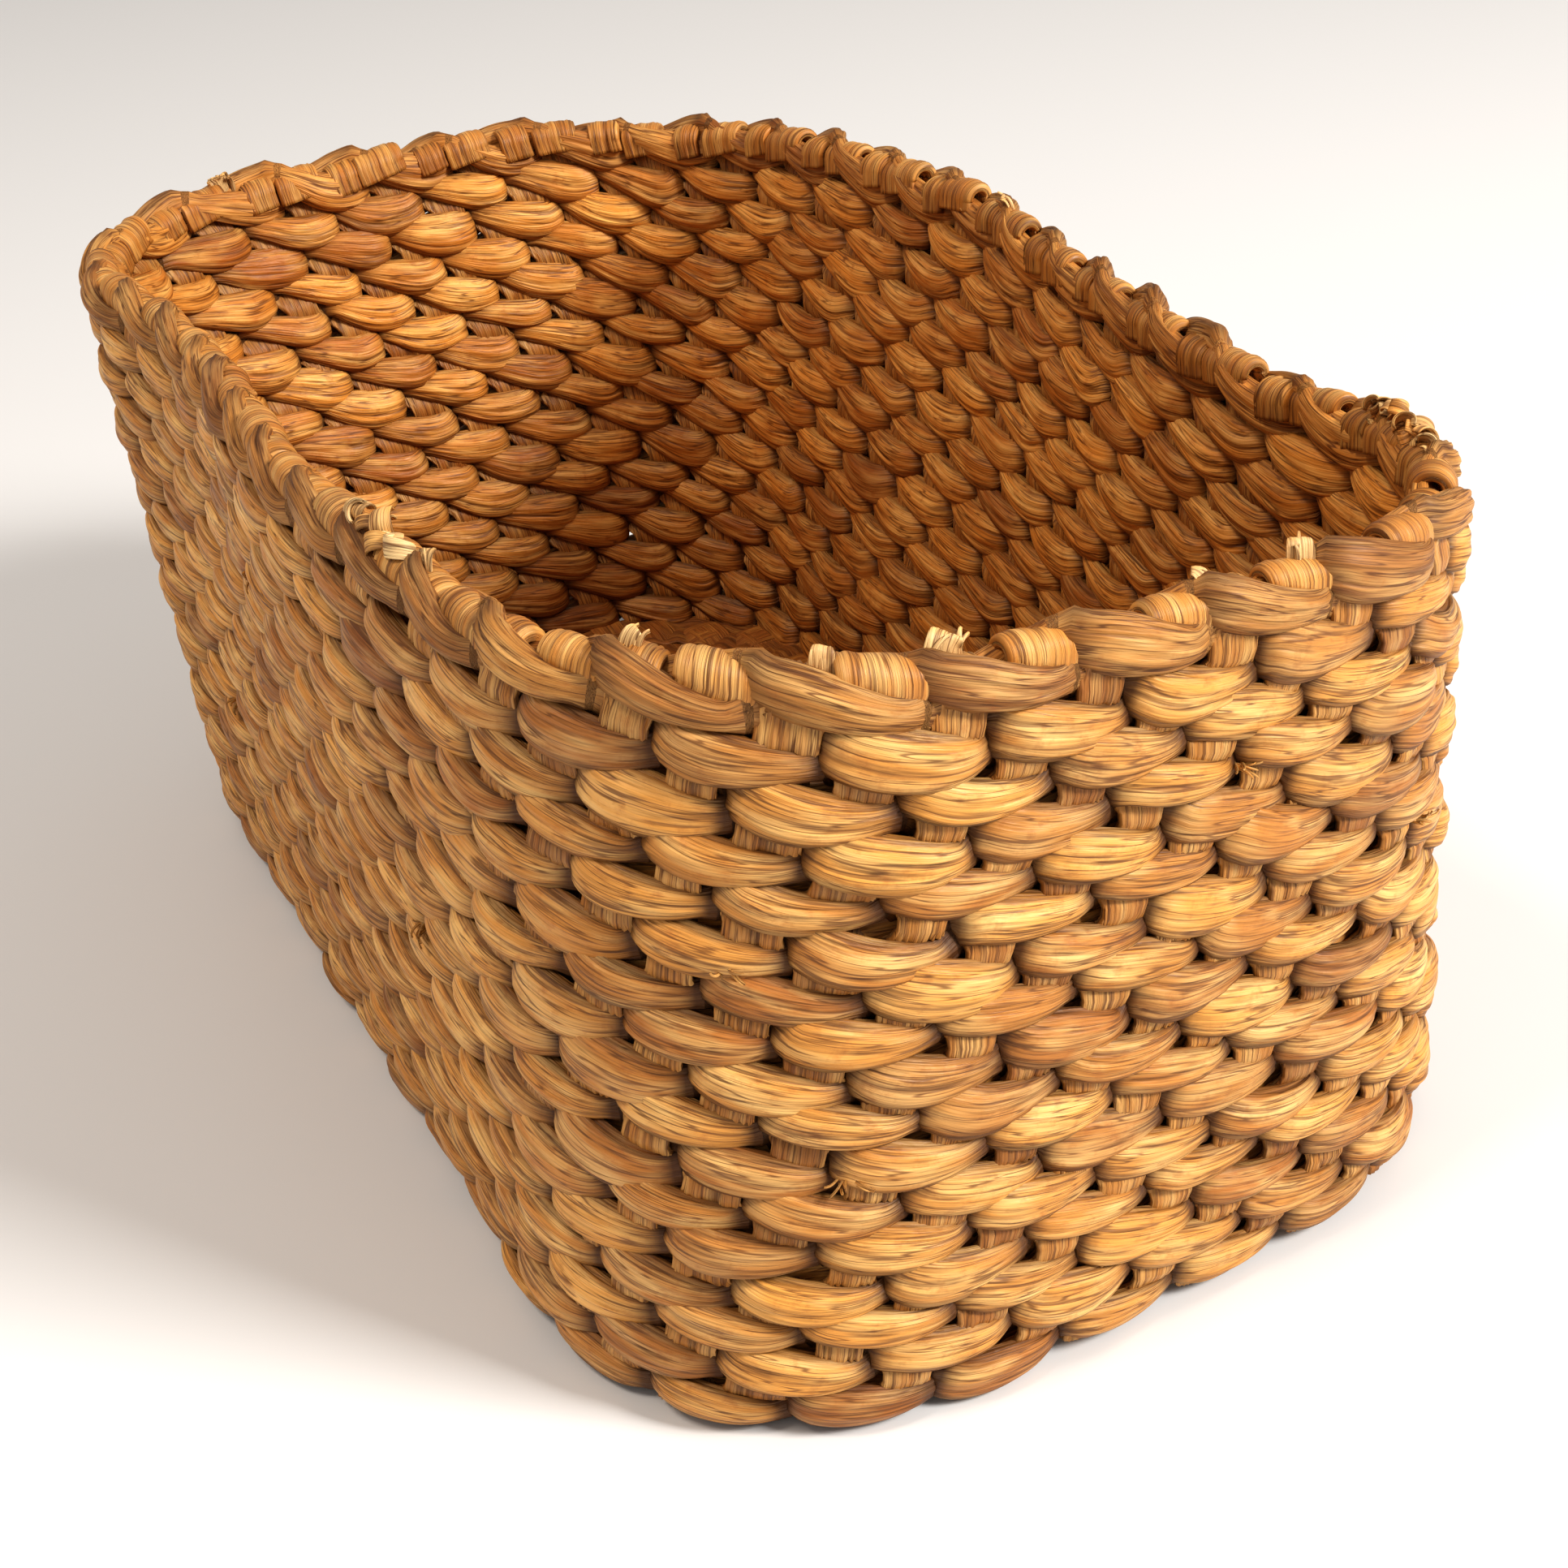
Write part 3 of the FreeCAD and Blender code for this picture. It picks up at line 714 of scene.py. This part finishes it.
def base_strip(sheets, place, ends, pitch, is_up, along_x):
    """One leaf of the base that rises over and dips under those that it crosses."""
    low, high = ends
    run = np.linspace(low, high, int((high - low) / 1.5))
    spokes = 26
    wave = np.sin(math.pi * run / pitch) * (1 if is_up else -1)
    line = BASE_LINE + STRIP_RISE * np.tanh(1.6 * wave)
    spin = ring_angles(spokes)
    side = squared(np.cos(spin), 0.75)
    front = squared(np.sin(spin), 0.55)
    half_width = STRIP_HALF_WIDTH * chance.uniform(0.95, 1.04)
    half_width = (half_width + 0.25 * np.sin(run / 17 + place))[:, None]
    rib = np.abs(np.sin(side * 4 * math.pi + chance.uniform(0, 3) + 0.3 * np.sin(run / 19)[:, None]))
    aside = place + side * half_width + 0.5 * np.sin(run / 31 + place)[:, None]
    height = line[:, None] + front * STRIP_HALF_DEPTH * (0.8 + 0.4 * (rib - 0.6))
    height = np.maximum(height, CLEARANCE)
    length = run[:, None] + 0 * aside
    points = np.stack([length, aside, height] if along_x else [aside, length, height], -1) * MM
    fibre = np.stack([length, side * half_width, 9.0 * place + 2 * np.sign(front) + 0 * length], -1)
    light = np.clip(chance.normal(0.45, 0.20), 0, 0.85)
    # painted shade: a strip is darker where it dips under the others and along its edges
    painted_shade = np.clip(0.40 - 0.16 * (line - 1.2), 0.03, 0.5)[:, None]
    painted_shade = painted_shade + 0.2 * smooth((np.abs(side) - 0.8) / 0.2)
    tint = np.stack([0 * aside + 0.2, 0 * aside + light, painted_shade, rib], -1)
    sheets.add(points, fibre, tint, smooth(front + 0.5) + 0 * length, flip=along_x)


def foot_leaf(sheets, out_middle, half_width, sway):
    """One leaf laid round the base beside the foot of the wall; it closes the last gaps."""
    u = np.linspace(0, PERIMETER, 420, endpoint=False)
    spokes = 22
    spin = ring_angles(spokes)
    side = squared(np.cos(spin), 0.75)
    front = squared(np.sin(spin), 0.55)
    rib = np.abs(np.sin(side * 4 * math.pi + 0.3 * np.sin(u / 19)[:, None]))
    line = (BASE_LINE + sway * np.sin(2 * math.pi * u / STAKE_PITCH))[:, None]
    across = side * (half_width + 0.3 * np.sin(u / 23))[:, None]
    height = line + front * STRIP_HALF_DEPTH * (0.8 + 0.4 * (rib - 0.6))
    length = u[:, None] + 0 * across
    fibre = np.stack([length, across, 50 * out_middle + 2 * np.sign(front) + 0 * length], -1)
    # 0.35 is painted shade all along the foot of the wall
    tint = np.stack([0 * length + 0.2, 0 * length + 0.45, 0 * length + 0.35, rib + 0 * length], -1)
    sheets.add(wall(length, height, out_middle + across), fibre, tint, smooth(front + 0.5) + 0 * length,
               closed_rows=True)


def make_base():
    """Lengthwise and crosswise leaves, plain woven, and two leaves round their edge."""
    outline_x, outline_y = base_outline()
    long_sheets, cross_sheets = Sheets(), Sheets()
    for number in range(LONG_STRIPS):
        place = (number - (LONG_STRIPS - 1) / 2) * LONG_PITCH
        ends = strip_ends(place, outline_x, outline_y)
        base_strip(long_sheets, place, ends, CROSS_PITCH, number % 2 == 0, True)
    for number in range(CROSS_STRIPS):
        place = (number - (CROSS_STRIPS - 1) / 2) * CROSS_PITCH
        ends = strip_ends(place, outline_y, outline_x)
        base_strip(cross_sheets, place, ends, LONG_PITCH, number % 2 == 1, False)
    for row in FOOT_LEAVES:
        foot_leaf(long_sheets, *row)
    long_sheets.piece("base_lengthwise_leaves", FLOOR_LEAF, "base_leaf", ["base_strips_long"])
    cross_sheets.piece("base_crosswise_leaves", FLOOR_LEAF, "base_leaf", ["base_strips_cross"])


# ---------------------------------------------------------------- stage
CAMERA_PLACE = (0.4412, -0.1993, 0.3083)
CAMERA_AZIMUTH = 63.88      # degrees round from looking along +Y, towards looking along -X
CAMERA_ELEVATION = 29.58    # degrees that it looks down
CAMERA_ROLL = -5.18
CAMERA_LENS = 54.4
FLOOR_HALF = 4.0
FLOOR_COLOUR = (0.76, 0.755, 0.75, 1)
SKY_COLOUR = (1.0, 0.955, 0.915, 1)
SKY_STRENGTH = 0.42
# lights: (name, place, what it faces, size, watts, colour)
LIGHTS = (("window", (1.55, 1.10, 1.45), (0.02, 0.0, 0.07), 0.6, 62.0, (1.0, 0.98, 0.95)),
          ("front_fill", (0.25, -1.25, 2.5), (0.0, 0.0, 0.06), 0.6, 26.0, (1.0, 0.90, 0.80)))


def make_camera():
    """The photograph's viewpoint: over the near corner, looking down along the basket."""
    azimuth, elevation, roll = map(math.radians, (CAMERA_AZIMUTH, CAMERA_ELEVATION, CAMERA_ROLL))
    ahead = math.cos(elevation)
    forward = Vector((-math.sin(azimuth) * ahead, math.cos(azimuth) * ahead, -math.sin(elevation)))
    level = forward.cross(Vector((0, 0, 1))).normalized()
    upward = level.cross(forward)
    right = level * math.cos(roll) + upward * math.sin(roll)
    top = upward * math.cos(roll) - level * math.sin(roll)
    data = bpy.data.cameras.new("camera")
    data.lens = CAMERA_LENS
    data.sensor_width = 36.0
    camera = bpy.data.objects.new("camera", data)
    turned = Matrix((right, top, -forward)).transposed().to_4x4()
    camera.matrix_world = Matrix.Translation(CAMERA_PLACE) @ turned
    bpy.context.scene.collection.objects.link(camera)
    bpy.context.scene.camera = camera


def area_light(name, place, target, size, power, colour):
    """A soft square light that faces its target."""
    data = bpy.data.lights.new(name, "AREA")
    data.size = size
    data.energy = power
    data.color = colour
    light = bpy.data.objects.new(name, data)
    light.location = place
    light.rotation_mode = "QUATERNION"
    light.rotation_quaternion = (Vector(target) - Vector(place)).to_track_quat("-Z", "Y")
    bpy.context.scene.collection.objects.link(light)


def make_stage():
    """Pale floor, white surroundings and soft light from the right and from above in front."""
    mesh = bpy.data.meshes.new("floor")
    corners = [(x * FLOOR_HALF, y * FLOOR_HALF, 0) for x, y in ((-1, -1), (1, -1), (1, 1), (-1, 1))]
    mesh.from_pydata(corners, [], [(0, 1, 2, 3)])
    floor = bpy.data.objects.new("floor", mesh)
    bpy.context.scene.collection.objects.link(floor)
    material = bpy.data.materials.new("pale_floor")
    material.use_nodes = True
    shader = material.node_tree.nodes["Principled BSDF"]
    shader.inputs["Base Color"].default_value = FLOOR_COLOUR
    shader.inputs["Roughness"].default_value = 0.45
    mesh.materials.append(material)
    world = bpy.data.worlds.new("surroundings")
    world.use_nodes = True
    background = world.node_tree.nodes["Background"]
    background.inputs[0].default_value = SKY_COLOUR
    background.inputs[1].default_value = SKY_STRENGTH
    bpy.context.scene.world = world
    bpy.context.scene.view_settings.view_transform = "Standard"
    bpy.context.scene.view_settings.look = "Medium High Contrast"
    for row in LIGHTS:
        area_light(*row)


make_camera()
make_stage()
make_courses()
make_stakes()
make_cut_ends()
make_base()

bpy.context.view_layer.update()
